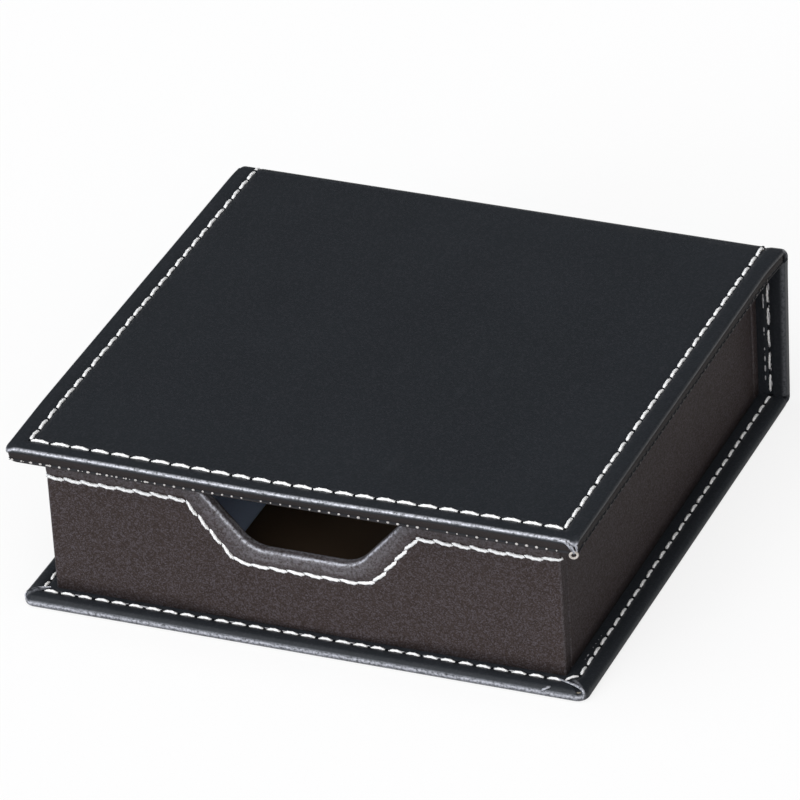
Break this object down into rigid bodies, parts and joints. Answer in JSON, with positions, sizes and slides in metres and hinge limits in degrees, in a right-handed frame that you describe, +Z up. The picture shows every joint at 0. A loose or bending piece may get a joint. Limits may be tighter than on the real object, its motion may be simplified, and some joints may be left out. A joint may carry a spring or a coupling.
{
  "type": "note holder box",
  "caption": "Square hinged leatherette box for loose notes: stitched lid, spine and base panels round a covered tray with a finger notch in front.",
  "frame": {"origin": "centre of the closed box's underside", "axes": "+Z up, +X to the right seen from the front, the notched front wall towards -Y, the spine at +Y"},
  "size_m": [0.115, 0.115, 0.036],
  "materials": {
    "cover_leather": "matte grain",
    "lining": "matte",
    "greyboard": "matte",
    "note_paper": "matte",
    "card_stock": "satin"
  },
  "bodies": {
    "box": {"base_board": "greyboard", "base_cover": "cover_leather", "base_fold": "cover_leather", "base_lining": "lining", "floor_lining": "lining", "front_wall_board": "greyboard", "front_wall_cover": "cover_leather", "front_wall_lining": "lining", "insert_card": "card_stock", "left_wall_board": "greyboard", "left_wall_cover": "cover_leather", "left_wall_lining": "lining", "note_pad": "note_paper", "rear_wall_board": "greyboard", "rear_wall_cover": "cover_leather", "rear_wall_lining": "lining", "right_wall_board": "greyboard", "right_wall_cover": "cover_leather", "right_wall_lining": "lining", "spine_board": "greyboard", "spine_cover": "cover_leather", "spine_lining": "lining"},
    "fold": {"lid_fold": "cover_leather", "lid_fold_lining": "lining"},
    "lid": {"lid_board": "greyboard", "lid_cover": "cover_leather", "lid_lining": "lining"}
  },
  "joints": [
    {"name": "spine_crease", "type": "hinge", "parent": "box", "child": "fold", "pos_m": [0, 0.0575, 0.0328], "axis": [-1, 0, 0], "range_deg": [0, 99]},
    {"name": "lid_crease", "type": "hinge", "parent": "fold", "child": "lid", "pos_m": [0, 0.0543, 0.036], "axis": [-1, 0, 0], "range_deg": [0, 99]}
  ],
  "couplings": [
    {"joint": "lid_crease", "follows": "spine_crease", "ratio": 1}
  ]
}
